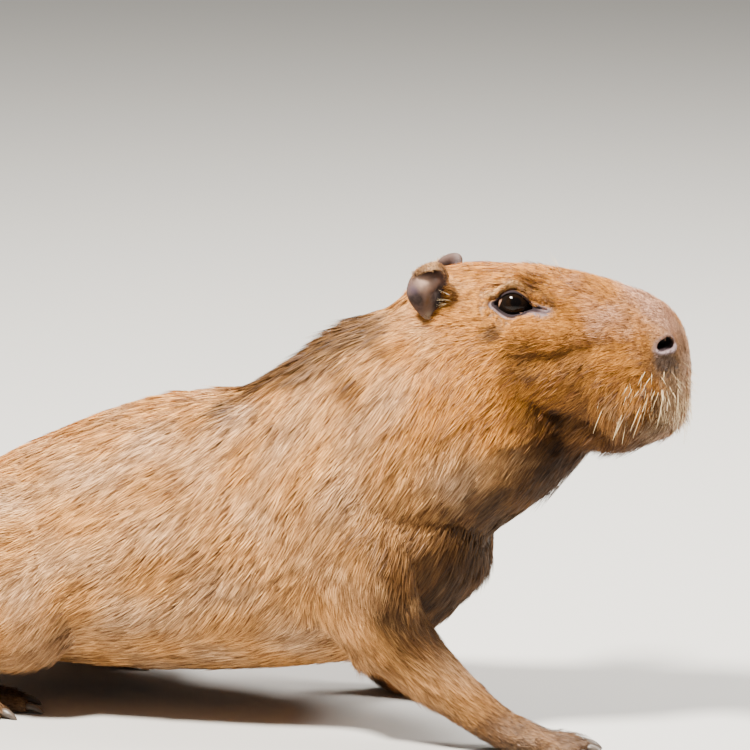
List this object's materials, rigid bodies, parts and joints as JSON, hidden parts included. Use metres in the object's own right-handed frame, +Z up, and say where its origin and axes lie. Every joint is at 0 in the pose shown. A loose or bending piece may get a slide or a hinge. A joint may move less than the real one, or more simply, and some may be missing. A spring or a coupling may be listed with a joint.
{
  "type": "capybara",
  "caption": "Life-size still capybara in a low wading stride: head raised, near forefoot reaching forward, coarse tan coat lying flat, small ears, blunt muzzle.",
  "frame": {"origin": "middle of the bounding box, on the floor that the feet stand on", "axes": "+X towards the nose, +Y to the animal's left, +Z up"},
  "size_m": [0.8394, 0.3238, 0.4779],
  "materials": {
    "coat": "coarse flat hair, light tan on the flank, golden on the head, dark brown at nape and under the jaw",
    "bare_skin": "thin grey-brown skin with short hair",
    "eye": "wet, nearly black",
    "claw": "dark horn"
  },
  "bodies": {
    "root": {"head": "coat", "neck": "coat", "torso": "coat", "leg_front_right": "coat", "leg_front_left": "coat", "leg_hind_right": "coat", "leg_hind_left": "coat", "tail": "bare_skin", "ear_right": "bare_skin", "ear_left": "bare_skin", "eye_right": "eye", "eye_left": "eye", "claw_front_right_1": "claw", "claw_front_right_2": "claw", "claw_front_right_3": "claw", "claw_front_right_4": "claw", "claw_front_left_1": "claw", "claw_front_left_2": "claw", "claw_front_left_3": "claw", "claw_front_left_4": "claw", "claw_hind_right_1": "claw", "claw_hind_right_2": "claw", "claw_hind_right_3": "claw", "claw_hind_left_1": "claw", "claw_hind_left_2": "claw", "claw_hind_left_3": "claw"}
  },
  "joints": []
}
